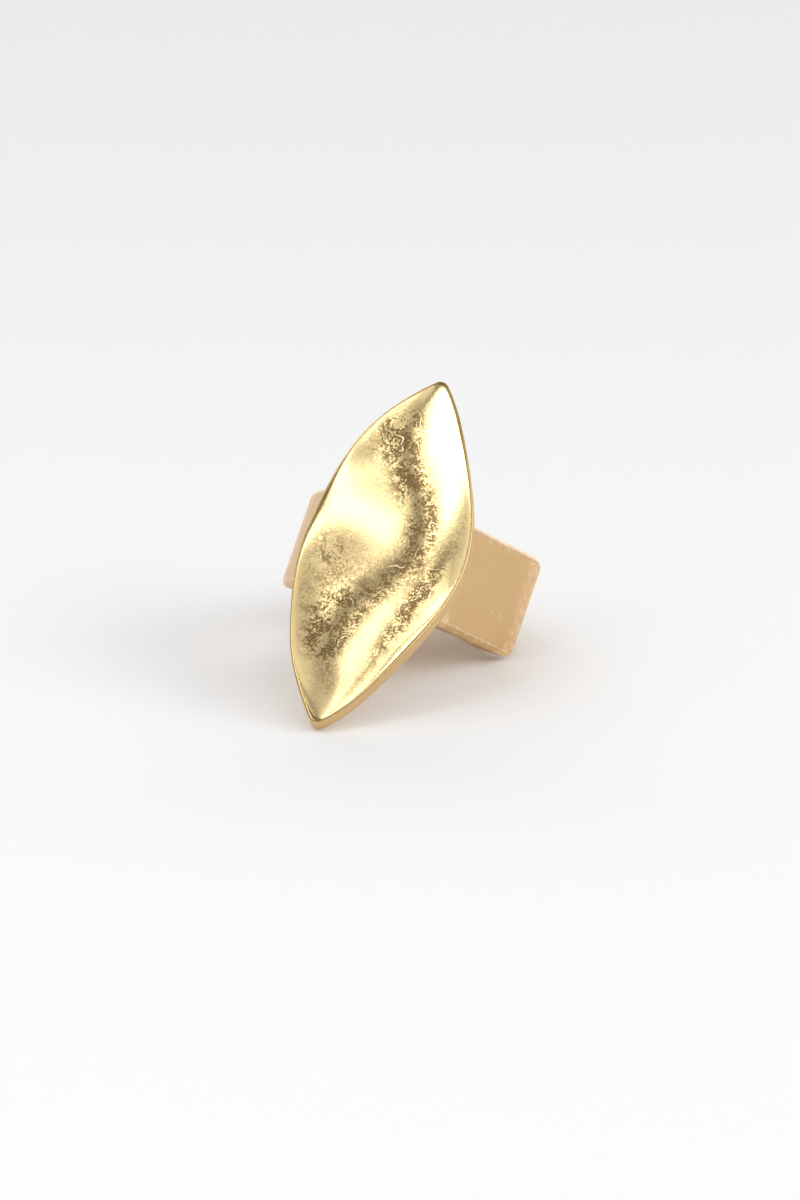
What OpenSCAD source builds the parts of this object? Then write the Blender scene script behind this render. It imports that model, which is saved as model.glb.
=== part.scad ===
// Statement stretch ring: a long dished leaf on a band of slab links strung on two elastic cords.
// The links and the leaf are drawn in the ring's own frame: the finger hole's axis stands along Z
// and the leaf faces -Y. The whole ring is then turned to the way it lies on a table, on the
// leaf's lower tip and the lower edge of one rear link, with the table at z = 0.

/* [Finger hole] */
// Radius of the finger hole
finger_r = 8.25; // [7.9:0.05:8.3]
// How far the hole's axis lies behind the middle of the side corners
finger_back = 0.6; // [0.4:0.1:0.8]

/* [Band] */
// Half the width of the front link, under the leaf
front_corner_x = 6.25; // [6:0.05:6.5]
// How far the front link's face lies before the middle
front_corner_y = 10.6; // [10.5:0.1:10.9]
// Half the width of the band at its widest corners
side_corner_x = 12.35; // [12:0.05:12.6]
// How far the widest corners lie behind the middle
side_corner_y = 2.25; // [2:0.05:2.5]
// How far the side links' front corners stand inside the widest corners
side_link_inset = 0.35; // [0.2:0.05:0.5]
// Radius of the circle that the three rear corners lie on
rear_corner_r = 11.75; // [11.6:0.05:12.0]
// Height of the front link and the two shoulder links
wide_link_h = 10.1; // [9.6:0.1:10.4]
// Height of the four rear links
rear_link_h = 5.5; // [5.2:0.1:6]
// Bevel round each link's outer face
link_bevel = 0.5; // [0.3:0.05:0.6]
// Corner radius of a wide link's outer face
wide_corner_r = 1.1; // [0.8:0.1:1.4]
// Corner radius of a rear link's outer face
rear_corner_round = 0.8; // [0.7:0.1:1]
// Gap between neighbouring links
link_gap = 0.3; // [0.2:0.05:0.4]

/* [Elastic cords] */
// Diameter of each cord
cord_d = 0.8; // [0.6:0.1:0.8]
// Diameter of the channel that a cord runs in
channel_d = 1.1; // [1.0:0.1:1.1]
// Wall between the finger hole and a channel
channel_wall = 0.5; // [0.45:0.05:0.55]
// Height of each cord above or below the band's middle
cord_height = 1.4; // [1.2:0.1:1.5]

/* [Leaf] */
// Half the leaf's length
leaf_a = 18.85; // [18.5:0.05:19.2]
// Half the leaf's width
leaf_b = 7.95; // [7.7:0.05:8.2]
// Radius of its two tips
leaf_tip_r = 0.9; // [0.6:0.1:1.2]
// Sideways place of its middle line
leaf_side = 0.7; // [0.5:0.05:0.9]
// How far the upper part of the middle line bends to the other side
leaf_bend = 1.5; // [1:0.05:1.6]
// How far the lower tip bends the same way as the middle
lower_bend = 0.5; // [0:0.05:0.6]
// How much the leaf's sides are flattened halfway to the upper tip
upper_waist = 0.1; // [0:0.05:0.2]
// How much the leaf's sides are flattened halfway to the lower tip
lower_waist = 0.4; // [0.2:0.05:0.5]
// Height of the wall round the rim
leaf_wall = 1.65; // [1.5:0.05:1.8]
// Depth of the dish below the rim
dish_depth = 1.2; // [1:0.1:1.6]
// How much of the dish's depth the back of the leaf follows
back_share = 0.8; // [0.75:0.05:0.85]
// Width of the flat land on the rim
rim_land = 0.25; // [0.2:0.05:0.4]
// Distance of the rim's plane before the middle of the band
leaf_out = 13.75; // [13.7:0.05:14.2]
// Height of the leaf's middle above the band's middle
leaf_up = -0.25; // [-0.3:0.05:0.1]
// Backward lean of the leaf against the band
leaf_lean = 18.2; // [17:0.1:19]

/* [Dish] */
// How far the dish's lowest line swings from side to side, as a share of half the width
swing_share = 0.3; // [0:0.05:0.35]
// Sideways place of the lowest line's middle, as a share of half the width
swing_side = 0.05; // [0:0.05:0.1]
// Height at which the lowest line lies furthest to the right
swing_top = 3; // [0:0.5:6]
// Length of one full swing
swing_length = 24; // [20:1:30]
// Sideways place of the long shallow hollow beside the lower right rim
hollow_side = 4.2; // [3:0.1:4.5]
// Height of that hollow's middle
hollow_up = -7; // [-9:0.5:-5]
// Half the hollow's width
hollow_half_w = 1.2; // [1:0.1:1.6]
// Half the hollow's length
hollow_half_l = 7; // [5:0.5:8]
// How far the hollow's lower end turns inwards
hollow_turn = 12; // [8:1:20]
// Depth of the hollow
hollow_depth = 0.12; // [0:0.02:0.2]

/* [Seat behind the leaf] */
// Width of the seat between the leaf and the front link
seat_w = 8; // [7:0.5:9]
// Height of the seat, down from the middle of the band
seat_h = 4; // [3:0.5:4.5]
// Clearance between the leaf's back and the shoulder links
leaf_clearance = 0.35; // [0.3:0.05:0.5]

/* [Hidden] */

gold = "#d8b070";
satin_gold = "#cfa872";
elastic_clear = "#e8e4da";

// facets of round cuts and of the links' rounded corners
round_fn = 96;
corner_fn = 32;
reach = 40;

finger_axis = [0, finger_back];
cord_ring_r = finger_r + channel_wall + channel_d / 2;

// corners of the band seen from above, from the front right round to the front left
front_right = [front_corner_x, -front_corner_y];
side_right = [side_corner_x, side_corner_y];
side_link_front = side_right - [side_link_inset, 0];
rear_right = [rear_corner_r * cos(45), rear_corner_r * sin(45)];
rear_middle = [0, rear_corner_r];
function mirrored(p) = [-p[0], p[1]];

// The leaf's outline in its own plane is two slightly flattened arcs that meet in rounded tips:
// the arcs' radius follows from the half length, the half width and the tip radius.
tip_z = leaf_a - leaf_tip_r;
arc_r = (pow(tip_z, 2) + pow(leaf_b, 2) - pow(leaf_tip_r, 2)) / (2 * (leaf_b - leaf_tip_r));
arc_x = arc_r - leaf_b;
arc_end_z = arc_r * tip_z / (arc_r - leaf_tip_r);

function half_width(z) = abs(z) > arc_end_z
    ? sqrt(max(pow(leaf_tip_r, 2) - pow(abs(z) - tip_z, 2), 0))
    : sqrt(pow(arc_r, 2) - pow(z, 2)) - arc_x
        - (z > 0 ? upper_waist : lower_waist) * pow(sin(180 * z / leaf_a), 2);
function blend(t) = let (u = min(max(t, 0), 1)) u * u * (3 - 2 * u);
function middle_line(z) = let (v = z / leaf_a)
    leaf_side - leaf_bend * blend(v / 0.78) + lower_bend * blend((-v - 0.6) / 0.4);

// The dish falls as a parabola across and along the leaf inside the land. Its lowest line swings
// from side to side like an S, and a long shallow hollow lies beside the lower right rim. The
// back is a plainer dish. In a place on the leaf, x and z lie in the rim's plane and y is the
// depth behind it.
function across(x, z) = min(max(x / max(half_width(z) - rim_land, 0.01), -1), 1);
function swing(z) = swing_side + swing_share * cos(360 * (z - swing_top) / swing_length);
function fall(u, z) = let (v = z / (leaf_a - rim_land)) max(1 - u * u, 0) * max(1 - v * v, 0);
function front_fall(x, z) = let (u = across(x, z)) fall(u - swing(z) * (1 - u * u), z);
function hollow(x, z) =
    let (sx = x - hollow_side, sz = z - hollow_up,
         a = sx * cos(hollow_turn) - sz * sin(hollow_turn),
         b = sz * cos(hollow_turn) + sx * sin(hollow_turn))
    hollow_depth * exp(-pow(a / hollow_half_w, 2) - pow(b / hollow_half_l, 2));
function dish(x, z) = let (f = front_fall(x, z)) dish_depth * f + hollow(x, z) * blend(f / 0.3);
function front_place(x, z) = [x + middle_line(z), dish(x, z), z];
function back_place(x, z) =
    [x + middle_line(z), leaf_wall + back_share * dish_depth * fall(across(x, z), z), z];

// Rows of points across the leaf, closer together towards its tips, and a point at each tip
rows = 34;
row_half = 6;
row_count = 2 * row_half + 1;
function row_z(j) = leaf_a * sin(180 * j / rows - 90);
function row_x(j, k) =
    let (w = half_width(row_z(j)), n = k - row_half, inside = max(w - rim_land, w / 2))
    abs(n) == row_half ? sign(n) * w : inside * n / (row_half - 1);
function at(j, k) = (j - 1) * row_count + k;
low_tip = (rows - 1) * row_count;
high_tip = low_tip + 1;
back_start = high_tip + 1;
leaf_points = concat(
    [for (j = [1:rows - 1], k = [0:row_count - 1]) front_place(row_x(j, k), row_z(j))],
    [front_place(0, -leaf_a), front_place(0, leaf_a)],
    [for (j = [1:rows - 1], k = [0:row_count - 1]) back_place(row_x(j, k), row_z(j))],
    [back_place(0, -leaf_a), back_place(0, leaf_a)]);

front_faces = concat(
    [for (j = [1:rows - 2], k = [0:row_count - 2])
        each [[at(j, k), at(j + 1, k), at(j + 1, k + 1)], [at(j, k), at(j + 1, k + 1), at(j, k + 1)]]],
    [for (k = [0:row_count - 2]) [low_tip, at(1, k), at(1, k + 1)]],
    [for (k = [0:row_count - 2]) [at(rows - 1, k), high_tip, at(rows - 1, k + 1)]]);
back_faces = [for (f = front_faces) [f[2], f[1], f[0]] + back_start * [1, 1, 1]];
rim = concat([low_tip], [for (j = [1:rows - 1]) at(j, row_count - 1)],
             [high_tip], [for (j = [rows - 1:-1:1]) at(j, 0)]);
wall_faces = [for (i = [0:len(rim) - 1])
    let (a = rim[i], b = rim[(i + 1) % len(rim)])
    each [[a, b, b + back_start], [a, b + back_start, a + back_start]]];

// The leaf's frame stands before the band and leans back.
function leaf_to_ring(p) =
    [p[0], p[1] * cos(leaf_lean) + p[2] * sin(leaf_lean) - leaf_out,
     p[2] * cos(leaf_lean) - p[1] * sin(leaf_lean) + leaf_up];

// The ring lies on its leaf's lower tip and the lower edge of the right rear link, so the table's
// upward direction is square to both.
rear_along = (rear_middle - rear_right) / norm(rear_middle - rear_right);
rear_out = [-rear_along[1], rear_along[0]] * -1;
edge_a = concat(rear_right - rear_out * link_bevel, [-rear_link_h / 2]);
edge_b = concat(rear_middle - rear_out * link_bevel, [-rear_link_h / 2]);
rim_in_ring = [for (i = rim, side = [0, back_start]) leaf_to_ring(leaf_points[i + side])];
function up_from(tip) = let (n = cross(edge_a - tip, edge_b - tip), u = n / norm(n)) u[2] < 0 ? -u : u;
function lowest(points, up) =
    let (heights = [for (p = points) p * up], low = min(heights)) points[search(low, heights)[0]];
first_up = up_from(leaf_to_ring([0, leaf_wall, -leaf_a]));
second_up = up_from(lowest(rim_in_ring, first_up));
table_up = up_from(lowest(rim_in_ring, second_up));
level = [1, 0, 0] - table_up[0] * table_up;
table_x = level / norm(level);
table_y = cross(table_up, table_x);

// The outermost corners of the band and the leaf's rim give the ring's reach.
function corner_reach(p, height) = let (inset = p * (1 - link_bevel / norm(p)))
    [for (side = [-1, 1]) concat(inset, [side * height / 2])];
reach_points = concat(rim_in_ring,
    [for (p = [front_right, side_right, mirrored(front_right), mirrored(side_right)])
        each corner_reach(p, wide_link_h)],
    [for (p = [rear_right, rear_middle, mirrored(rear_right)]) each corner_reach(p, rear_link_h)]);
function middle_of(values) = (min(values) + max(values)) / 2;
shift_x = -middle_of([for (p = reach_points) p * table_x]);
shift_y = -middle_of([for (p = reach_points) p * table_y]);
shift_z = -(edge_a * table_up);

module on_the_table() {
    multmatrix([concat(table_x, [shift_x]), concat(table_y, [shift_y]), concat(table_up, [shift_z]),
                [0, 0, 0, 1]])
        children();
}

// A slab with its outer face at z = 0, bevelled all round that face
module slab(length, height, depth, corner) {
    hull()
        for (sx = [-1, 1], sy = [-1, 1])
            translate([sx * (length / 2 - corner), sy * (height / 2 - corner), -depth]) {
                cylinder(r = corner, h = depth - link_bevel, $fn = corner_fn);
                cylinder(r = corner - link_bevel, h = depth, $fn = corner_fn);
            }
}

// The slab stands between two corners of the band, its face outwards
module slab_between(a, b, height, corner) {
    along = b - a;
    translate(concat((a + b) / 2, [0]))
        rotate([0, 0, atan2(along[1], along[0])])
            rotate([90, 0, 0])
                slab(norm(along) - link_gap, height, 6, corner);
}

// The slice of the band between two corners, half a gap in from each
module slice(a, b) {
    ray_a = (a - finger_axis) / norm(a - finger_axis);
    ray_b = (b - finger_axis) / norm(b - finger_axis);
    half = acos(ray_a * ray_b) / 2;
    point = finger_axis + (ray_a + ray_b) / norm(ray_a + ray_b) * (link_gap / 2) / sin(half);
    linear_extrude(height = reach, center = true)
        polygon([point, point + reach * ray_a, point + reach * ray_b]);
}

module finger_hole() {
    translate([0, finger_back, -reach / 2])
        cylinder(r = finger_r, h = reach, $fn = round_fn);
}

module cord_ring(height, d) {
    translate([0, finger_back, height])
        rotate_extrude($fn = round_fn)
            translate([cord_ring_r, 0])
                circle(d = d, $fn = 24);
}

module cut_for_finger_and_cords() {
    difference() {
        children();
        finger_hole();
        cord_ring(cord_height, channel_d);
        cord_ring(-cord_height, channel_d);
    }
}

module band_link(a, b, height, corner) {
    cut_for_finger_and_cords()
        intersection() {
            slab_between(a, b, height, corner);
            slice(a, b);
        }
}

module in_leaf_frame() {
    translate([0, -leaf_out, leaf_up])
        rotate([-leaf_lean, 0, 0])
            children();
}

// The space before a round trough as wide as the leaf, which follows a share of the dish's depth
// at a set distance behind the rim's plane
module before_the_leaf(behind, share) {
    sag = share * dish_depth;
    trough_r = (pow(leaf_b, 2) + pow(sag, 2)) / (2 * sag);
    in_leaf_frame()
        translate([leaf_side, behind + sag - trough_r, 0])
            cylinder(r = trough_r, h = reach, center = true, $fn = round_fn);
}

module leaf_plate() {
    in_leaf_frame()
        polyhedron(points = leaf_points, faces = concat(front_faces, back_faces, wall_faces), convexity = 4);
}

// The leaf, its seat and the front link are soldered into one piece of metal.
module leaf_head() {
    color(gold) on_the_table() {
        cut_for_finger_and_cords()
            difference() {
                union() {
                    intersection() {
                        slab_between(mirrored(front_right), front_right, wide_link_h, wide_corner_r);
                        slice(mirrored(front_right), front_right);
                    }
                    translate([-seat_w / 2, -leaf_out, -seat_h])
                        cube([seat_w, leaf_out - front_corner_y + 1, seat_h]);
                }
                before_the_leaf(leaf_wall / 2, (1 + back_share) / 2);
            }
        leaf_plate();
    }
}

// The shoulders' front ends are cut back where they would touch the leaf.
module shoulder_link(left) {
    color(satin_gold) on_the_table()
        difference() {
            mirror([left ? 1 : 0, 0, 0])
                band_link(front_right, side_right, wide_link_h, wide_corner_r);
            before_the_leaf(leaf_wall + leaf_clearance, back_share);
        }
}

module side_link(left) {
    color(satin_gold) on_the_table()
        mirror([left ? 1 : 0, 0, 0])
            band_link(side_link_front, rear_right, rear_link_h, rear_corner_round);
}

module rear_link(left) {
    color(satin_gold) on_the_table()
        mirror([left ? 1 : 0, 0, 0])
            band_link(rear_right, rear_middle, rear_link_h, rear_corner_round);
}

module elastic(height) {
    color(elastic_clear) on_the_table()
        cord_ring(height, cord_d);
}

leaf_head();
shoulder_link(false);  // shoulder_link_right
shoulder_link(true);  // shoulder_link_left
side_link(false);  // side_link_right
side_link(true);  // side_link_left
rear_link(false);  // rear_link_right
rear_link(true);  // rear_link_left
elastic(cord_height);  // elastic_upper
elastic(-cord_height);  // elastic_lower
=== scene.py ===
# %% [markdown]
# # A leaf-shaped stretch ring
# The real ring is cast in zinc alloy, plated in pale gold and rubbed back by hand. A long dished
# leaf is soldered to the front of a band, and the band is seven slab links strung on two elastic
# cords. This lesson draws the ring on top of its engineering model: that model fixes every size
# and place, and the pieces made here take over what the eye sees.

import bpy
import numpy as np
from mathutils import Matrix, Vector


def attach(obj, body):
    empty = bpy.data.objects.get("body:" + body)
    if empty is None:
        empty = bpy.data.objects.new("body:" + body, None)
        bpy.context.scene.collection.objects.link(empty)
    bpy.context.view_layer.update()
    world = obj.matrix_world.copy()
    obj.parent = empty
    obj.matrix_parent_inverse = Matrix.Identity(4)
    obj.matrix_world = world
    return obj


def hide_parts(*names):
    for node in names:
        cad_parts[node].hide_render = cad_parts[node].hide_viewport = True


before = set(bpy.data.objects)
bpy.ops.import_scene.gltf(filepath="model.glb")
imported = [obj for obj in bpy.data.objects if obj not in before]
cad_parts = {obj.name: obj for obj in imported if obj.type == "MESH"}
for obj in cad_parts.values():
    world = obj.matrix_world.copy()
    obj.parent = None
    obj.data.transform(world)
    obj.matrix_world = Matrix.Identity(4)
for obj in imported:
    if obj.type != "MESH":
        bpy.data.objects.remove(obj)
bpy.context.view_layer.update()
print("engineering model:", sorted(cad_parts))

# %% [markdown]
# ## The ring's own frame
# The ring is easiest to describe upright: the finger hole along Z, the leaf facing -Y, and
# millimetres for units. On the table it leans back and to one side, because it rests on the
# leaf's lower tip and on the lower edge of one rear link. Two leans and one shift carry every
# point from the first frame to the second, so shapes are made upright and then laid down.

# %% From the upright ring to the ring on the table
MM = 0.001
LEAN_BACK, LEAN_SIDE = np.radians(28.9865), np.radians(11.3501)
TABLE_SHIFT = np.array([0.206039, 7.40156, 7.68407])   # in mm: middle over the origin, base on 0
back_c, back_s = np.cos(LEAN_BACK), np.sin(LEAN_BACK)
side_c, side_s = np.cos(LEAN_SIDE), np.sin(LEAN_SIDE)
# each row is one of the table's directions, seen in the ring's own frame
TABLE_FROM_RING = np.array([
    [side_c, -side_s * back_s, side_s * back_c],
    [0.0, back_c, back_s],
    [-side_s, -side_c * back_s, side_c * back_c]])
print("finger hole's axis on the table:", TABLE_FROM_RING[:, 2].round(3))


def lay_down(points):
    """Ring millimetres to table metres: each point is turned, shifted and scaled."""
    return (points @ TABLE_FROM_RING.T + TABLE_SHIFT) * MM


# %% [markdown]
# ## Shells from rings of points
# Every metal piece is a closed shell. It could be modelled by hand with bevels, but the corners
# would then be guesswork. Here a shell is a stack of rings: ring after ring of points, each
# joined to the next with four-sided faces, and one point to close each end. The rings come out
# of a formula as one array, so the whole piece is exact and nothing is pushed about by hand.

# %% A closed shell
def closed_shell(name, rings, first, last, **attributes):
    """Joins rings (ring, step, xyz) with quads, and closes the ends with fans to two points.
    An attribute is an array (ring, step): a number at each point that a material can read."""
    count, steps = rings.shape[:2]
    points = np.vstack([rings.reshape(-1, 3), [first, last]])
    ring, step = np.meshgrid(np.arange(count - 1), np.arange(steps), indexing="ij")
    after = (step + 1) % steps
    quads = np.stack([ring * steps + step, ring * steps + after,
                      (ring + 1) * steps + after, (ring + 1) * steps + step], axis=-1)
    step = np.arange(steps)
    after = (step + 1) % steps
    top = np.stack([np.full(steps, count * steps), after, step], axis=-1)
    end = (count - 1) * steps
    bottom = np.stack([end + step, end + after, np.full(steps, count * steps + 1)], axis=-1)
    mesh = bpy.data.meshes.new(name)
    corners = np.concatenate([quads.ravel(), top.ravel(), bottom.ravel()])
    sizes = np.concatenate([np.full(quads.size // 4, 4), np.full(2 * steps, 3)])
    mesh.vertices.add(len(points))
    mesh.vertices.foreach_set("co", lay_down(points).ravel())
    mesh.loops.add(len(corners))
    mesh.loops.foreach_set("vertex_index", corners)
    mesh.polygons.add(len(sizes))
    mesh.polygons.foreach_set("loop_start", np.cumsum(sizes) - sizes)
    mesh.update(calc_edges=True)
    for key, values in attributes.items():
        layer = mesh.attributes.new(key, "FLOAT", "POINT")
        ends = [values[0].mean(), values[-1].mean()]
        layer.data.foreach_set("value", np.concatenate([values.ravel(), ends]))
    mesh.polygons.foreach_set("use_smooth", np.ones(len(sizes), dtype=bool))
    mesh.validate()
    shell = bpy.data.objects.new(name, mesh)
    bpy.context.scene.collection.objects.link(shell)
    print(f"{name}: {len(points)} points, {len(sizes)} faces")
    return shell


# %% [markdown]
# ## The leaf's outline
# The leaf is two long arcs that meet in small rounded tips, a shape also called a vesica. Its
# sides are a little flattened on the way to the tips, and its middle line isn't straight: it
# bends one way towards the lower tip and the other way towards the upper one. Drawing it with
# arcs first and bending it after keeps both facts in plain numbers.

# %% Outline of the leaf
LEAF_A, LEAF_B = 18.85, 7.95           # half its length and half its width
TIP_R = 0.9                            # radius of its two tips
UPPER_WAIST, LOWER_WAIST = 0.1, 0.4    # how much its sides are flattened halfway to each tip
LEAF_SIDE, LEAF_BEND, LOWER_BEND = 0.7, 1.5, 0.5   # sideways place at z = 0, and two bends in mm
BEND_END, LOWER_BEND_START = 0.78, 0.6 # where they end and start, as shares of half the length
tip_z = LEAF_A - TIP_R
arc_r = (tip_z**2 + LEAF_B**2 - TIP_R**2) / (2 * (LEAF_B - TIP_R))
arc_x = arc_r - LEAF_B
arc_end_z = arc_r * tip_z / (arc_r - TIP_R)


def half_width(z):
    """Half the leaf's width at height z: the tip's circle near the ends, and elsewhere the arc
    less a small waist halfway to the tip."""
    z = np.clip(z, -LEAF_A, LEAF_A)
    tip = np.sqrt(np.maximum(TIP_R**2 - (np.abs(z) - tip_z)**2, 0))
    waist = np.where(z > 0, UPPER_WAIST, LOWER_WAIST) * np.sin(np.pi * z / LEAF_A)**2
    arc = np.sqrt(np.maximum(arc_r**2 - z**2, 0)) - arc_x - waist
    return np.where(np.abs(z) > arc_end_z, tip, arc)


def ease(t):
    """0 before t = 0, 1 after t = 1, and a smooth S between."""
    t = np.clip(t, 0, 1)
    return t * t * (3 - 2 * t)


def middle_line(z):
    """Sideways place of the leaf's middle at height z."""
    v = z / LEAF_A
    lower = ease((-v - LOWER_BEND_START) / (1 - LOWER_BEND_START))
    return LEAF_SIDE - LEAF_BEND * ease(v / BEND_END) + LOWER_BEND * lower


SIDE_STEPS = 260
lap = np.linspace(-np.pi / 2, np.pi / 2, SIDE_STEPS, endpoint=False)
outline_z = np.concatenate([LEAF_A * np.sin(lap), -LEAF_A * np.sin(lap)])
outline_x = half_width(outline_z) * np.repeat([1, -1], SIDE_STEPS)
along_x = np.roll(outline_x, -1) - np.roll(outline_x, 1)
along_z = np.roll(outline_z, -1) - np.roll(outline_z, 1)
speed = np.hypot(along_x, along_z)
outward_x, outward_z = along_z / speed, -along_x / speed
print("leaf outline:", len(outline_x), "steps,", round(2 * LEAF_A, 1), "x", round(2 * LEAF_B, 1), "mm")

# %% [markdown]
# ## The dished front
# The front of the leaf was pressed to a shallow dish and then worked by hand. The lowest line of
# the dish swings from side to side like an S, and a long shallow hollow lies beside the lower
# right rim. Both make the polished metal come alive, because each slope mirrors another part of
# the room. They could be faked with a bump, but then the rim and the shadows would stay flat, so
# they are real depth here.

# %% Depth of the dish
DISH_DEPTH = 1.2                     # without the hollow
RIM_LAND = 0.25                      # width of the flat rim
LEAF_WALL = 1.65                     # thickness of the leaf at its edge
BACK_SHARE = 0.8                     # the back bulges by this share of the dish's depth
SWING, SWING_SIDE = 0.3, 0.05        # how far the lowest line swings, as a share of the half width
SWING_TOP, SWING_LENGTH = 3.0, 24.0  # where it lies furthest right, and one full swing, in mm
FOOT = 0.03                          # share of the fall over which the dish's foot is rounded
HOLLOW_AT, HOLLOW_HALF = (4.2, -7.0), (1.2, 7.0)   # middle of the hollow, half width and length
HOLLOW_TURN, HOLLOW_DEPTH = np.radians(12.0), 0.12
HOLLOW_FADE = 0.3                    # share of the fall over which it starts, so the rim stays flat


def across_the_leaf(x, z):
    """-1 and 1 at the inner edges of the rim's land, 0 on the leaf's middle line."""
    return np.clip(x / np.maximum(half_width(z) - RIM_LAND, 0.05), -1, 1)


def across_the_dish(x, z):
    """Place across the dish: 0 on its lowest line, -1 and 1 on its edges. The lowest line is a
    cosine along the leaf, and its swing fades out towards the edges."""
    plain = across_the_leaf(x, z)
    swing = SWING_SIDE + SWING * np.cos(2 * np.pi * (z - SWING_TOP) / SWING_LENGTH)
    return plain - swing * (1 - plain**2)


def parabola(u, z):
    """1 in the middle of the dish and 0 at the land on its rim: a parabola each way."""
    v = z / (LEAF_A - RIM_LAND)
    return np.maximum(1 - u * u, 0) * np.maximum(1 - v * v, 0)


def soft_spot(x, z, at, half, turn):
    """A mound of height 1 that falls off as exp(-r squared), r being 1 at its half width and half
    length. turn leans its lower end inwards."""
    c, s = np.cos(turn), np.sin(turn)
    a, b = (x - at[0]) * c - (z - at[1]) * s, (z - at[1]) * c + (x - at[0]) * s
    return np.exp(-(a / half[0])**2 - (b / half[1])**2)


def dish(x, z):
    """Depth behind the rim's plane. The slope starts at nothing on the land and soon reaches the
    parabola's own, because the foot takes FOOT * (1 - exp(-fall / FOOT)) off the fall."""
    fall = parabola(across_the_dish(x, z), z)
    hollow = HOLLOW_DEPTH * soft_spot(x, z, HOLLOW_AT, HOLLOW_HALF, HOLLOW_TURN)
    return DISH_DEPTH * (fall - FOOT * (1 - np.exp(-fall / FOOT))) + hollow * ease(fall / HOLLOW_FADE)


def back(x, z):
    """Depth of the leaf's back behind the rim's plane: the wall and a share of the plain dish."""
    return LEAF_WALL + BACK_SHARE * DISH_DEPTH * parabola(across_the_leaf(x, z), z)


# %% [markdown]
# ## The leaf
# The leaf's edge is a plain wall that stands up from the plate, rounded where it was filed. The
# profile of that edge is carried round the outline: from the middle of the back out to the
# edge, round it, up the wall, over the rim, and down the dish to its middle.

# %% The leaf's shell
LEAF_OUT, LEAF_UP, LEAF_LEAN = 13.75, -0.25, np.radians(18.2)
RIM_R, BACK_R = 0.22, 0.25     # how round the rim and the back edge are
GROOVE_AT, GROOVE_WIDE, GROOVE_DEEP = 0.8, 0.1, 0.07   # a fine groove along the wall
BACK_ROWS, WALL_ROWS, DISH_ROWS = 30, 26, 122
DISH_CROWDING = 1.4            # rows of the dish lie closer together near the rim, where it bends
RIM_FADE = 0.03                # share of the dish's fall over which the rim's colour ends


def leaf_to_ring(x, depth, z):
    """Leaf to ring: the leaf leans back by LEAF_LEAN and stands LEAF_OUT before the band."""
    c, s = np.cos(LEAF_LEAN), np.sin(LEAF_LEAN)
    return np.stack([x, depth * c + z * s - LEAF_OUT, z * c - depth * s + LEAF_UP], axis=-1)


def leaf_ring(inset, scale=1.0):
    """The outline moved inwards by inset and then drawn in towards the leaf's middle."""
    return ((outline_x - inset * outward_x) * scale, (outline_z - inset * outward_z) * scale)


quarter = np.linspace(0, np.pi / 2, 7)
rows = []
for s in np.linspace(0.04, 1, BACK_ROWS)[:-1]:         # the back, from its middle outwards
    x, z = leaf_ring(BACK_R, s)
    rows.append((x, back(x, z), z, 0.0))
for q in quarter:                                      # round the back edge
    x, z = leaf_ring(BACK_R * (1 - np.sin(q)))
    rows.append((x, x * 0 + LEAF_WALL - BACK_R * (1 - np.cos(q)), z, 0.0))
for d in np.linspace(LEAF_WALL - BACK_R, RIM_R, WALL_ROWS)[1:-1]:   # up the wall
    x, z = leaf_ring(GROOVE_DEEP * np.exp(-((d - GROOVE_AT) / GROOVE_WIDE)**2))
    rows.append((x, x * 0 + d, z, 0.0))
for q in quarter:                                      # over the rim
    x, z = leaf_ring(RIM_R * (1 - np.cos(q)))
    rows.append((x, x * 0 + RIM_R * (1 - np.sin(q)), z, np.sin(q)))
for t in np.linspace(0, 0.99, DISH_ROWS):              # down the dish to its middle
    x, z = leaf_ring(RIM_LAND, 1 - t**DISH_CROWDING)
    rows.append((x, dish(x, z), z, 1.0))
leaf_rings = np.array([leaf_to_ring(x + middle_line(z), d, z) for x, d, z, _ in rows])
front = np.array([np.full(len(outline_x), f) for *_, f in rows])
fall = np.array([parabola(across_the_dish(x, z), z) for x, _, z, _ in rows])
rim = front * (1 - ease(fall / RIM_FADE))              # 1 on the rim's land, 0 in the dish
middle = [leaf_to_ring(middle_line(0.0), d, 0.0) for d in (back(0.0, 0.0), dish(0.0, 0.0))]
print("deepest place of the dish:", round(max(d.max() for _, d, _, f in rows if f == 1), 2), "mm")

# %% [markdown]
# ## Where the brown wash and the painted shade lie
# A brown wash was brushed over the dish and rubbed off again. Its mask also carries painted shade:
# where the slopes mirror the dark gap overhead and the dim walls, that darkness is painted into the
# colour too. Both lie along the lowest line, in the hollow beside the lower right rim and on the left
# side below the middle, and most of all in three places: below the upper tip, right of the middle and
# above the lower tip. A painter would draw that mask by hand. Here it is a number at each point, 0 for
# bare gold and 1 for full wash and painted shade: a band along the lowest line and a few soft spots
# like the hollow, so it follows the form.

# %% The mask of the wash and painted shade, and the leaf itself
# place across and up, half width and half length (all mm), turn in degrees, strength
WASH_AND_SHADE_SPOTS = [
    ((-2.1, 12.8), (1.9, 3.0), 0, 1.0),     # below the upper tip
    ((-4.0, 10.5), (2.0, 2.4), 0, 0.4),     # its thin side towards the left edge
    ((0.2, 7.8), (2.4, 2.8), 0, 0.65),      # where the lowest line swings right
    ((2.6, 3.2), (1.3, 3.4), 0, 1.1),       # right of the middle
    ((1.2, -3.5), (1.6, 3.4), 30, 0.4),     # where the line swings back
    ((-2.2, -9.6), (2.0, 3.4), 20, 1.0),    # above the lower tip
    ((-4.8, -1.4), (3.2, 2.6), 0, 0.65),    # left side, below the middle
    ((-4.4, -6.4), (3.4, 3.2), 0, 0.55),    # left side, lower
    ((4.6, -4.0), (1.3, 11.0), 11, 0.85),   # the hollow beside the lower right rim
    ((-1.0, -15.0), (1.8, 2.0), 0, 0.3)]    # the lower tip
LINE_WASH_AND_SHADE, LINE_HALF = 0.42, 0.3            # wash and painted shade along the lowest line: strength, half width
LINE_ENDS, LINE_FADE = 17.0, (5, 4)         # it ends this far below and above, over these lengths
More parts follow.
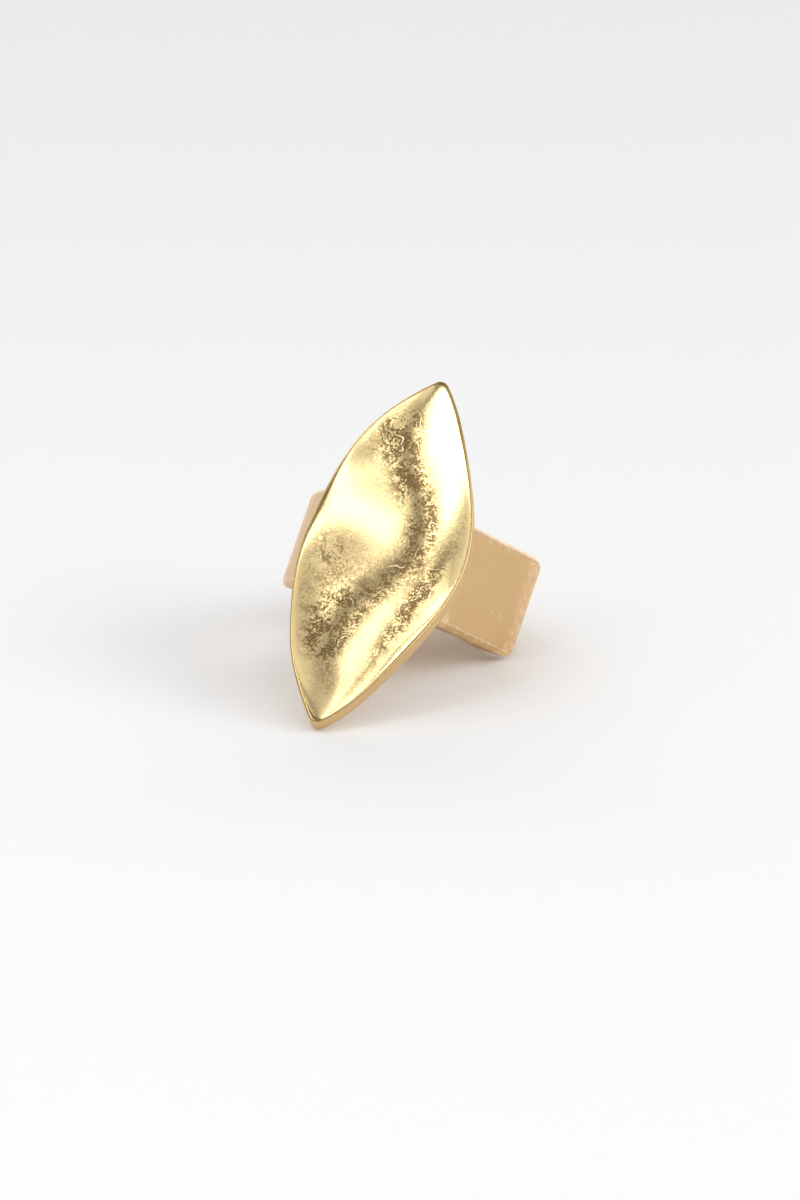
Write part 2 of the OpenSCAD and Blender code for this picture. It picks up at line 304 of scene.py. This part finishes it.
WASH_AND_SHADE_FADE = 0.2                             # share of the dish's fall over which the wash and painted shade start


def wash_on_the_line(x, z):
    """A bell across the dish, round its lowest line, that fades out towards both tips."""
    bell = np.exp(-(across_the_dish(x, z) / LINE_HALF)**2)
    fades = ease((z + LINE_ENDS) / LINE_FADE[0]) * ease((LINE_ENDS - z) / LINE_FADE[1])
    return LINE_WASH_AND_SHADE * bell * fades


wash = np.array([wash_on_the_line(x, z) for x, _, z, _ in rows])
for at, half, turn, strength in WASH_AND_SHADE_SPOTS:
    wash += strength * np.array([soft_spot(x, z, at, half, np.radians(turn)) for x, _, z, _ in rows])
wash = np.minimum(wash, 1) * ease(fall / WASH_AND_SHADE_FADE)    # none on the rim's land
print("share of the dish under wash:", round(float(wash[-DISH_ROWS:].mean()), 2))
leaf = closed_shell("leaf", leaf_rings, middle[0], middle[1], front=front, rim=rim, wash=wash)

# %% [markdown]
# ## The band's links
# Each link is a small slab, cast solid and tumbled, so its corners are soft. Its outer face is
# flat, its inner face follows the finger, and its ends point at the finger's middle. That is a
# rounded block whose depth always runs towards the hole's axis, so one function of the place on
# the face and the depth below it makes all seven.

# %% One function for every link
FINGER_R = 8.25                     # radius of the finger hole
FINGER_AXIS = np.array([0.0, 0.6])  # where its axis stands, seen from above
LINK_GAP = 0.3                      # between two links' ends
LINK_BEVEL, BEVEL_FLAT = 0.5, 1.6   # width of the outer bevel; 1 is round and 2 is flat
INNER_R = 0.2                       # rounding of a link's inner edges


def rounded_outline(length, height, corner, inset):
    """A rectangle with round corners, walked anticlockwise, moved inwards by inset."""
    r = max(corner - inset, 0.02)
    turn = np.linspace(0, np.pi / 2, 9)
    side = np.linspace(0, 1, 14)[1:-1]
    xs, zs = [], []
    corners = [(1, -1, -90), (1, 1, 0), (-1, 1, 90), (-1, -1, 180)]
    for k, (sx, sz, start) in enumerate(corners):
        cx, cz = sx * (length / 2 - corner), sz * (height / 2 - corner)
        a = turn + np.radians(start)
        arc = cx + r * np.cos(a), cz + r * np.sin(a)
        nx, nz, nstart = corners[(k + 1) % 4]
        b = np.radians(nstart)
        to = (nx * (length / 2 - corner) + r * np.cos(b), nz * (height / 2 - corner) + r * np.sin(b))
        xs += [arc[0], arc[0][-1] + (to[0] - arc[0][-1]) * side]
        zs += [arc[1], arc[1][-1] + (to[1] - arc[1][-1]) * side]
    return np.concatenate(xs), np.concatenate(zs)


def link_profile():
    """Steps from the outer face's middle to the inner face's middle: inset from the edge, how
    much the ring is drawn in, depth below the outer face, height above the inner one, and the
    share of the way down between the two."""
    shares = np.linspace(0.04, 1, 16)       # rings of a flat face, from its middle to its edge
    bevel = np.linspace(0, np.pi / 2, 11)
    steps = [(LINK_BEVEL, s, 0, 0, 0) for s in shares[:-1]]
    steps += [(LINK_BEVEL * (1 - np.sin(q)**BEVEL_FLAT), 1,
               LINK_BEVEL * (1 - np.cos(q)**BEVEL_FLAT), 0, 0) for q in bevel]
    steps += [(0, 1, LINK_BEVEL, INNER_R, f) for f in np.linspace(0, 1, 6)[1:]]
    steps += [(INNER_R * (1 - np.cos(q)), 1, 0, INNER_R * (1 - np.sin(q)), 1) for q in quarter[1:]]
    steps += [(INNER_R, s, 0, 0, 1) for s in shares[::-1][1:]]
    return steps


def link_points(along, height, depth, lift, share, a, b):
    """A place on the slab to a point of the ring: the depth runs from the outer face straight
    towards the finger hole's axis, and the inner face lies on the hole's wall."""
    a, b = np.array(a), np.array(b)
    direction = (b - a) / np.linalg.norm(b - a)
    face = (a + b) / 2 + along[..., None] * direction
    inward = FINGER_AXIS - face
    distance = np.linalg.norm(inward, axis=-1)
    down = depth * (1 - share) + (distance - FINGER_R - lift) * share
    place = face + inward / distance[..., None] * down[..., None]
    return np.concatenate([place, height[..., None]], axis=-1)


def make_link(name, a, b, height, corner, fit=None):
    """A whole link between two corners of the band, seen from above. fit may trim its points."""
    length = np.linalg.norm(np.array(b) - np.array(a)) - LINK_GAP
    rings, edges, from_ends = [], [], []
    for inset, scale, depth, lift, share in link_profile():
        x, z = rounded_outline(length, height, corner, inset)
        rings.append(link_points(x * scale, z * scale, depth, lift, share, a, b))
        from_end = length / 2 - np.abs(x * scale)
        from_edge = np.minimum(from_end, height / 2 - np.abs(z * scale))
        edges.append(from_edge if share == 0 else from_edge * 0 - 1)
        from_ends.append(from_end)
    rings = np.array(rings)
    zero = np.zeros(())
    ends = [link_points(zero, zero, 0.0, 0.0, s, a, b) for s in (0.0, 1.0)]
    if fit is not None:
        rings, ends = fit(rings), [fit(e) for e in ends]
    return closed_shell(name, rings, ends[0], ends[1],
                        from_edge=np.array(edges), from_end=np.array(from_ends))


# %% [markdown]
# ## Fitting the front links to the leaf
# The leaf stands so close that its back would run into the shoulders. On the real ring those
# corners are filed away, and the front link and its seat end inside the leaf's plate, where the
# solder joins them. Points that stand too far forward are simply moved back to a round trough.

# %% Trimming to the leaf's back
def behind_leaf(behind, share):
    """Returns a function that moves points back to a trough at least this far behind the rim's
    plane. The trough follows a share of the dish's depth."""
    sag = share * DISH_DEPTH
    trough_r = (LEAF_B**2 + sag**2) / (2 * sag)
    c, s = np.cos(LEAF_LEAN), np.sin(LEAF_LEAN)

    def fit(points):
        y, z = points[..., 1] + LEAF_OUT, points[..., 2] - LEAF_UP
        depth, height = y * c - z * s, y * s + z * c
        across = np.clip(points[..., 0] - LEAF_SIDE, -trough_r, trough_r)
        trough = behind + sag - trough_r + np.sqrt(trough_r**2 - across**2)
        depth = np.maximum(depth, trough)
        return leaf_to_ring(points[..., 0], depth, height)
    return fit


LEAF_CLEARANCE = 0.35   # from the leaf's back to the shoulders
clear_of_leaf = behind_leaf(LEAF_WALL + LEAF_CLEARANCE, BACK_SHARE)
into_leaf = behind_leaf(LEAF_WALL / 2, (1 + BACK_SHARE) / 2)   # halfway into the leaf's plate

# %% [markdown]
# ## Stringing the links
# Seen from above, the band is a polygon round the finger: a front link behind the leaf, two
# long shoulders, two side links and two rear links. The shoulders are as tall as the front link,
# and the rear four are narrower, so that the finger can bend.

# %% All seven links
FRONT, SIDE = (6.25, -10.6), (12.35, 2.25)
SIDE_START = (12.0, 2.25)
REAR_R = 11.75
REAR = (REAR_R * np.cos(np.pi / 4), REAR_R * np.sin(np.pi / 4))
BACK = (0.0, REAR_R)
WIDE_H, REAR_H = 10.1, 5.5
WIDE_CORNER, REAR_CORNER = 1.1, 0.8


def mirrored(p):
    return (-p[0], p[1])


front_link = make_link("front_link", mirrored(FRONT), FRONT, WIDE_H, WIDE_CORNER, into_leaf)
right_links = [
    make_link("shoulder_right", FRONT, SIDE, WIDE_H, WIDE_CORNER, clear_of_leaf),
    make_link("side_right", SIDE_START, REAR, REAR_H, REAR_CORNER),
    make_link("rear_right", REAR, BACK, REAR_H, REAR_CORNER)]
left_links = [
    make_link("shoulder_left", mirrored(SIDE), mirrored(FRONT), WIDE_H, WIDE_CORNER, clear_of_leaf),
    make_link("side_left", mirrored(REAR), mirrored(SIDE_START), REAR_H, REAR_CORNER),
    make_link("rear_left", BACK, mirrored(REAR), REAR_H, REAR_CORNER)]

# %% [markdown]
# ## The seat
# Below the middle of the leaf its back leans away from the front link, so a small block fills
# the wedge between them. It was soldered to both, and both of its ends are buried in metal.

# %% The seat's block
SEAT_W, SEAT_H, SEAT_CORNER = 8.0, 4.0, 0.6


def make_seat():
    """A rounded outline seen from the front, carried straight back into the front link."""
    x, z = rounded_outline(SEAT_W, SEAT_H, SEAT_CORNER, 0)
    depths = np.linspace(-LEAF_OUT, FRONT[1] + 1, 8)
    z = z - SEAT_H / 2
    rings = np.array([np.stack([x, x * 0 + y, z], axis=-1) for y in depths])
    ends = [np.array([0.0, y, -SEAT_H / 2]) for y in depths[[0, -1]]]
    return closed_shell("seat", into_leaf(rings), into_leaf(ends[0]), ends[1])


seat = make_seat()

# %% [markdown]
# ## Colours and nodes
# Paint and metal colours are written as hex values, as a picture editor shows them. The renderer
# works with linear light, so one function turns them over. A second small function adds a node
# with its settings and links, which keeps each material to a few readable lines.

# %% Helpers for materials
def colour(hex_value):
    """An sRGB hex colour as linear red, green, blue and full opacity."""
    s = np.array([int(hex_value[i:i + 2], 16) / 255 for i in (1, 3, 5)])
    linear = np.where(s <= 0.04045, s / 12.92, ((s + 0.055) / 1.055)**2.4)
    return (*linear, 1.0)


def add(tree, kind, settings=None, out=0, **inputs):
    """Adds a node and returns one of its outputs. settings go on the node itself. An input is a
    value, or another node's output to link; _0 stands for the input with that number."""
    node = tree.nodes.new(kind)
    for key, value in (settings or {}).items():
        setattr(node, key, value)
    for key, value in inputs.items():
        socket = node.inputs[int(key[1:])] if key[0] == "_" else node.inputs[key.replace("_", " ")]
        if isinstance(value, bpy.types.NodeSocket):
            tree.links.new(value, socket)
        else:
            socket.default_value = value
    return node.outputs[out] if len(node.outputs) else None


def new_material(name):
    """An empty material with its output node."""
    material = bpy.data.materials.new(name)
    material.use_nodes = True
    material.node_tree.nodes.clear()
    return material, material.node_tree


MIX_COLOUR = {"data_type": "RGBA"}
MULTIPLY_ADD = {"operation": "MULTIPLY_ADD"}
SMOOTH = {"interpolation_type": "SMOOTHSTEP"}

# %% [markdown]
# ## Worn gold
# The leaf's front is pale gold plate over cast zinc. A brown wash was brushed on and rubbed off
# while wet: it stays in the pits and hollows, and the high places are burnished bright. The same
# brown also paints shade where the dish mirrors dark parts of the room. Paint on a texture could
# show that, but noise at real grain sizes never repeats and never blurs. The eye sees a yellow
# mirror with a soft bloom, clouded with brown grains and a few pale scratches.

# %% Material for the leaf
BARE_GOLD, WASHED_AND_SHADED_GOLD, SCRATCHED_GOLD = "#F9E0A6", "#7C6642", "#FFEFC4"
RIM_WASH_AND_SHADE_GOLD, WALL_GOLD, PALE_WALL_GOLD = "#B89A66", "#DDBD8A", "#E7C795"


def worn_gold_material():
    material, tree = new_material("worn_gold_plate")
    place = add(tree, "ShaderNodeTexCoord", out="Object")
    front, rim, wash = (add(tree, "ShaderNodeAttribute", {"attribute_name": name}, out="Fac")
                        for name in ("front", "rim", "wash"))
    # grains of wash are about 0.25 mm across, their clumps 1.2 mm, and clouds 4 mm
    grain = add(tree, "ShaderNodeTexNoise", Vector=place, Scale=3800.0, Detail=2.0, Roughness=0.65)
    clump = add(tree, "ShaderNodeTexNoise", Vector=place, Scale=800.0, Detail=2.0, Roughness=0.6)
    cloud = add(tree, "ShaderNodeTexNoise", Vector=place, Scale=250.0, Detail=1.0)
    # the wash and painted shade lie in patches: the mask, broken up by the grain and the clumps
    patch = add(tree, "ShaderNodeMath", MULTIPLY_ADD, _0=clump, _1=0.95, _2=grain)
    patch = add(tree, "ShaderNodeMapRange", SMOOTH, _0=patch, _1=0.82, _2=1.13, _3=-0.7, _4=0.6)
    # pale flecks are high grains, 0.25 mm across, that were burnished through the wash
    bare = add(tree, "ShaderNodeTexNoise", Vector=place, Scale=4200.0, Detail=2.0, Roughness=0.7)
    bare = add(tree, "ShaderNodeMath", MULTIPLY_ADD, _0=wash, _1=0.08, _2=bare)
    flecks = add(tree, "ShaderNodeMapRange", SMOOTH, _0=bare, _1=0.645, _2=0.72, _3=1.0, _4=0.1)
    uneven = add(tree, "ShaderNodeMath", MULTIPLY_ADD, _0=wash, _1=patch, _2=1.0)
    wash_and_shade_film = add(tree, "ShaderNodeMath", MULTIPLY_ADD, _0=cloud, _1=0.3, _2=-0.1)
    wash_and_shade_film = add(tree, "ShaderNodeMath", MULTIPLY_ADD, _0=wash, _1=uneven, _2=wash_and_shade_film)
    wash_and_shade_film = add(tree, "ShaderNodeMath", {"operation": "MULTIPLY", "use_clamp": True},
               _0=wash_and_shade_film, _1=flecks)
    # hairline scratches are the level lines of a smooth 3 mm noise, cut up by the clumps
    curve = add(tree, "ShaderNodeTexNoise", Vector=place, Scale=330.0, Detail=1.0)
    off_line = add(tree, "ShaderNodeMath", {"operation": "COMPARE"}, _0=curve, _1=0.5, _2=0.006)
    cut = add(tree, "ShaderNodeMapRange", SMOOTH, _0=clump, _1=0.52, _2=0.6)
    scratch = add(tree, "ShaderNodeMath", {"operation": "MULTIPLY"}, _0=off_line, _1=cut)
    scratch = add(tree, "ShaderNodeMath", {"operation": "MULTIPLY"}, _0=scratch, _1=wash)
    # the brown is partly wash left in the pits and partly painted shade where the dish mirrors dark
    # parts of the room
    gold = add(tree, "ShaderNodeMix", MIX_COLOUR, out=2,
               _0=wash_and_shade_film, _6=colour(BARE_GOLD), _7=colour(WASHED_AND_SHADED_GOLD))
    gold = add(tree, "ShaderNodeMix", MIX_COLOUR, out=2,
               _0=scratch, _6=gold, _7=colour(SCRATCHED_GOLD))
    # the rim's land is painted darker brown: partly wash rubbed into it, partly a painted dark
    # reflection of the roof
    gold = add(tree, "ShaderNodeMix", MIX_COLOUR, out=2, _0=rim, _6=gold, _7=colour(RIM_WASH_AND_SHADE_GOLD))
    wall = add(tree, "ShaderNodeMix", MIX_COLOUR, out=2,
               _0=clump, _6=colour(WALL_GOLD), _7=colour(PALE_WALL_GOLD))
    base = add(tree, "ShaderNodeMix", MIX_COLOUR, out=2, _0=front, _6=wall, _7=gold)
    # burnished metal is a soft mirror; the wash dulls it, and the filed wall is satin
    dull = add(tree, "ShaderNodeMath", MULTIPLY_ADD, _0=wash_and_shade_film, _1=0.15, _2=0.15)
    rough = add(tree, "ShaderNodeMix", _0=front, _2=0.42, _3=dull)
    # the skin is finely pitted, and it waves a little between the strokes of the burnisher
    pits = add(tree, "ShaderNodeMath", MULTIPLY_ADD, _0=wash_and_shade_film, _1=0.16, _2=0.08)
    skin = add(tree, "ShaderNodeMath", MULTIPLY_ADD, _0=clump, _1=1.5, _2=grain)
    bump = add(tree, "ShaderNodeBump", Height=skin, Strength=pits, Distance=0.00005)
    shader = add(tree, "ShaderNodeBsdfPrincipled", Base_Color=base, Metallic=1.0,
                 Roughness=rough, Normal=bump)
    add(tree, "ShaderNodeOutputMaterial", Surface=shader)
    print(f"{material.name}: {len(tree.nodes)} nodes")
    return material


worn_gold = worn_gold_material()

# %% [markdown]
# ## Satin gold
# The links have the same plate on a tumbled surface that was left dull. It mirrors only broad
# light and dark, in a warmer tone, with paler rubbed specks, a pinker border that is partly
# rubbed and partly painted sheen, and painted highlights. The links' shells carry two numbers
# for that, in mm: how far a point of the outer face lies from the nearest edge and from the link's
# nearer end.

# %% Material for the links
SATIN_GOLD, PALE_SATIN_GOLD, PINK_BORDER_AND_SHEEN = "#D7B381", "#E2BF8C", "#ECC39A"
RUBBED_FLECK, EDGE_HIGHLIGHT, BORDER_LINE_HIGHLIGHT = "#F6DDB0", "#F8E2B8", "#FBE6BE"


def satin_gold_material():
    material, tree = new_material("satin_gold_plate")
    place = add(tree, "ShaderNodeTexCoord", out="Object")
    edge, end = (add(tree, "ShaderNodeAttribute", {"attribute_name": name}, out="Fac")
                 for name in ("from_edge", "from_end"))
    # the tumbled grain is 0.33 mm across, and the plate's tone drifts over 4 mm
    grain = add(tree, "ShaderNodeTexNoise", Vector=place, Scale=3000.0, Detail=3.0, Roughness=0.6)
    tone = add(tree, "ShaderNodeTexNoise", Vector=place, Scale=260.0, Detail=3.0)
    base = add(tree, "ShaderNodeMix", MIX_COLOUR, out=2,
               _0=tone, _6=colour(SATIN_GOLD), _7=colour(PALE_SATIN_GOLD))
    # the ends were rubbed most: a pinker border about 2 mm wide, partly rubbed plate and partly
    # painted sheen where the ends round off, whose inner side wanders, with pale flecks 0.8 mm across.
    # "outer" keeps all of it off the inner faces
    wander = add(tree, "ShaderNodeTexNoise", Vector=place, Scale=350.0, Detail=2.0)
    wander = add(tree, "ShaderNodeMath", MULTIPLY_ADD, _0=wander, _1=3.0, _2=end)
    worn_and_sheen = add(tree, "ShaderNodeMapRange", SMOOTH, _0=wander, _1=2.9, _2=4.2, _3=1.0, _4=0.0)
    outer = add(tree, "ShaderNodeMapRange", SMOOTH, _0=edge, _1=-0.8, _2=-0.1)
    worn_and_sheen = add(tree, "ShaderNodeMath", {"operation": "MULTIPLY"}, _0=worn_and_sheen, _1=outer)
    near = add(tree, "ShaderNodeMapRange", SMOOTH, _0=edge, _1=0.3, _2=1.4, _3=0.12, _4=0.0)
    tint = add(tree, "ShaderNodeMath", {"operation": "MULTIPLY"}, _0=worn_and_sheen, _1=0.6)
    base = add(tree, "ShaderNodeMix", MIX_COLOUR, out=2, _0=tint, _6=base, _7=colour(PINK_BORDER_AND_SHEEN))
    blotch = add(tree, "ShaderNodeTexNoise", Vector=place, Scale=1300.0, Detail=4.0, Roughness=0.7)
    rubbed = add(tree, "ShaderNodeMath", MULTIPLY_ADD, _0=worn_and_sheen, _1=0.13, _2=blotch)
    rubbed = add(tree, "ShaderNodeMath", MULTIPLY_ADD, _0=near, _1=outer, _2=rubbed)
    flecks = add(tree, "ShaderNodeMapRange", SMOOTH, _0=rubbed, _1=0.62, _2=0.76, _3=0.0, _4=0.6)
    base = add(tree, "ShaderNodeMix", MIX_COLOUR, out=2, _0=flecks, _6=base, _7=colour(RUBBED_FLECK))
    # a painted highlight, a fine pale line, follows that border's inner side and is broken in places
    inside = add(tree, "ShaderNodeMath", {"operation": "COMPARE"}, _0=wander, _1=3.4, _2=0.06)
    broken = add(tree, "ShaderNodeMapRange", SMOOTH, _0=blotch, _1=0.42, _2=0.56, _3=0.0, _4=0.6)
    inside = add(tree, "ShaderNodeMath", {"operation": "MULTIPLY"}, _0=inside, _1=broken)
    inside = add(tree, "ShaderNodeMath", {"operation": "MULTIPLY"}, _0=inside, _1=outer)
    base = add(tree, "ShaderNodeMix", MIX_COLOUR, out=2, _0=inside, _6=base, _7=colour(BORDER_LINE_HIGHLIGHT))
    # a painted highlight: a fine pale line on the edge between face and bevel
    line = add(tree, "ShaderNodeMath", {"operation": "COMPARE"}, _0=edge, _1=0.5, _2=0.06)
    line = add(tree, "ShaderNodeMath", {"operation": "MULTIPLY"}, _0=line, _1=0.5)
    base = add(tree, "ShaderNodeMix", MIX_COLOUR, out=2, _0=line, _6=base, _7=colour(EDGE_HIGHLIGHT))
    bump = add(tree, "ShaderNodeBump", Height=grain, Strength=0.25, Distance=0.00002)
    shader = add(tree, "ShaderNodeBsdfPrincipled", Base_Color=base, Metallic=1.0,
                 Roughness=0.38, Normal=bump)
    add(tree, "ShaderNodeOutputMaterial", Surface=shader)
    print(f"{material.name}: {len(tree.nodes)} nodes")
    return material


satin_gold = satin_gold_material()

# %% [markdown]
# ## Elastic
# Stretch cord is clear, slightly milky polyurethane. Little of it shows: only the short lengths
# that cross the gaps between links.

# %% Material for the cords
def elastic_material():
    material, tree = new_material("clear_stretch_cord")
    shader = add(tree, "ShaderNodeBsdfPrincipled", Base_Color=colour("#EDE8DC"), Roughness=0.3,
                 IOR=1.5, Transmission_Weight=0.4)
    add(tree, "ShaderNodeOutputMaterial", Surface=shader)
    return material


elastic = elastic_material()

# %% [markdown]
# ## Which piece stands for what
# The physics model keeps its own solids. Each piece drawn here hides the solid it stands for, and
# is given the body it moves with and the finish it wears.

# %% Ride, replace and paint
def dress(piece, node, material):
    piece.data.materials.append(material)
    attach(piece, "root")
    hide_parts(node)


dress(leaf, "leaf_head", worn_gold)
for piece in (front_link, seat):
    dress(piece, "leaf_head", satin_gold)
for side, links in (("right", right_links), ("left", left_links)):
    for part, piece in zip(("shoulder", "side", "rear"), links):
        dress(piece, f"{part}_link_{side}", satin_gold)
for name in ("elastic_upper", "elastic_lower"):
    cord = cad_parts[name]
    cord.data.materials.clear()
    cord.data.materials.append(elastic)

# %% [markdown]
# ## Floor, light and camera
# A jewellery photographer stands a ring like this on white board inside a tent of white cloth,
# with flat soft lights above it. A photograph of the room could light the ring too, but separate
# lights can be moved one by one. The tent's walls fill the metal with light, the dark gap overhead
# gives it its contrast, and each light makes one bright place in the dish or on the board. The
# dish mirrors the sky like a map, so a light's edges are set as angles seen from the ring.

# %% The white board
def make_floor():
    half = 3.0   # metres
    mesh = bpy.data.meshes.new("floor")
    mesh.from_pydata([(-half, -half, 0), (half, -half, 0), (half, half, 0), (-half, half, 0)], [],
                     [(0, 1, 2, 3)])
    board = bpy.data.objects.new("floor", mesh)
    bpy.context.scene.collection.objects.link(board)
    material, tree = new_material("white_board")
    shader = add(tree, "ShaderNodeBsdfPrincipled", Base_Color=colour("#F7F7F7"), Roughness=0.9)
    add(tree, "ShaderNodeOutputMaterial", Surface=shader)
    mesh.materials.append(material)
    return board


make_floor()

# %% Tent and soft lights
CAMERA_VIEW = np.array([-0.31396, 0.89005, -0.33051])   # the way the camera looks
UP = np.array([0.0, 0.0, 1.0])
CAMERA_RIGHT = np.cross(CAMERA_VIEW, UP) / np.linalg.norm(CAMERA_VIEW[:2])
CAMERA_FRONT = np.cross(CAMERA_RIGHT, UP)                # level, and towards the camera


def make_tent():
    """The tent is the world. Its walls are dim at the table and bright from a third of the way
    up, its roof is dark, and behind the ring the white board sweeps up to meet it."""
    world = bpy.data.worlds.new("tent")
    bpy.context.scene.world = world
    world.use_nodes = True
    tree = world.node_tree
    tree.nodes.clear()
    direction = add(tree, "ShaderNodeTexCoord", out="Generated")
    up = add(tree, "ShaderNodeSeparateXYZ", out="Z", Vector=direction)
    behind = add(tree, "ShaderNodeVectorMath", {"operation": "DOT_PRODUCT"}, out="Value",
                 _0=direction, _1=tuple(-CAMERA_FRONT))
    walls = add(tree, "ShaderNodeMapRange", SMOOTH, _0=up, _1=0.0, _2=0.3, _3=0.1, _4=0.47)
    roof = add(tree, "ShaderNodeMapRange", SMOOTH, _0=up, _1=0.5, _2=0.8, _3=0.0, _4=-0.4)
    low = add(tree, "ShaderNodeMapRange", SMOOTH, _0=up, _1=0.15, _2=0.5, _3=1.3, _4=0.0)
    sweep = add(tree, "ShaderNodeMapRange", SMOOTH, _0=behind, _1=0.5, _2=0.8)
    sweep = add(tree, "ShaderNodeMath", {"operation": "MULTIPLY"}, _0=sweep, _1=low)
    shade = add(tree, "ShaderNodeMath", {"operation": "ADD"}, _0=walls, _1=roof)
    shade = add(tree, "ShaderNodeMath", {"operation": "ADD"}, _0=shade, _1=sweep)
    light = add(tree, "ShaderNodeBackground", Color=(1, 1, 1, 1), Strength=shade)
    add(tree, "ShaderNodeOutputWorld", Surface=light)


def soft_box(name, right, front, up, brightness):
    """A flat soft light that hangs level, up metres above the table. right and front give its
    edges as angles from straight up, in degrees, to the camera's right and towards the camera:
    an edge lies up * tan(angle) from the ring."""
    right, front = up * np.tan(np.radians(right)), up * np.tan(np.radians(front))
    width, length = right[1] - right[0], front[1] - front[0]
    light = bpy.data.lights.new(name, "AREA")
    light.shape, light.size, light.size_y = "RECTANGLE", width, length
    light.energy = brightness * np.pi * width * length
    turn = np.eye(4)
    turn[:3, 0], turn[:3, 1], turn[:3, 2] = CAMERA_RIGHT, -CAMERA_FRONT, UP
    turn[:3, 3] = np.mean(right) * CAMERA_RIGHT + np.mean(front) * CAMERA_FRONT + up * UP
    box = bpy.data.objects.new(name, light)
    box.matrix_world = Matrix(turn.tolist())
    bpy.context.scene.collection.objects.link(box)


make_tent()
# Each row: name, edges to the right, edges towards the camera, height in metres, brightness.
# The comment says what the light is for.
SOFT_BOXES = [
    ("box_right", (-4, 9), (16, 27.5), 0.8, 2.8),        # the streak right of the lowest line
    ("box_high", (10, 24), (33, 46), 0.8, 1.8),          # that streak's upper end
    ("box_front", (-10, 46), (29, 62), 0.7, 0.78),       # the leaf's upper left side
    ("box_middle", (9, 46), (9, 29), 0.6, 0.8),          # its lower left edge
    ("box_low", (-11, 46), (-8, 9), 0.6, 1.0),           # its lower tip
    ("box_side", (46, 68), (-18.4, 59), 0.6, 2.9),       # the links and the board
    ("box_left", (-45, -15.1), (10.8, 35), 0.5, 3.2),    # the round place on the left
    ("box_strip", (-20, -12), (-4, 10), 0.5, 3.2),       # the streak above the lower tip
    ("box_left_low", (-60, -36), (-30, 11), 0.55, 0.8),  # the leaf's lower right edge
    ("box_back", (-34, -20), (-22, -3), 0.6, 2.6),       # the pale place beside that edge
    ("box_far", (-58, 58), (-67.4, -58), 0.5, 3.0)]      # the board behind the ring
for row in SOFT_BOXES:
    soft_box(*row)
print("soft lights:", len(SOFT_BOXES))
bpy.context.scene.view_settings.view_transform = "Standard"

# %% [markdown]
# ## The camera
# The photograph was taken a little to the right of the leaf and about 19 degrees down, from far
# enough away that the ring keeps its true proportions.

# %% Camera at the photograph's angle
def make_camera():
    data = bpy.data.cameras.new("camera")
    data.sensor_fit, data.sensor_height, data.lens = "VERTICAL", 36.0, 157.98
    camera = bpy.data.objects.new("camera", data)
    camera.location = (0.160298, -0.448706, 0.173953)
    camera.rotation_euler = Vector(CAMERA_VIEW).to_track_quat("-Z", "Y").to_euler()
    bpy.context.scene.collection.objects.link(camera)
    bpy.context.scene.camera = camera
    print("camera:", round(data.lens, 1), "mm lens at", round(camera.location.length, 3), "m")


make_camera()
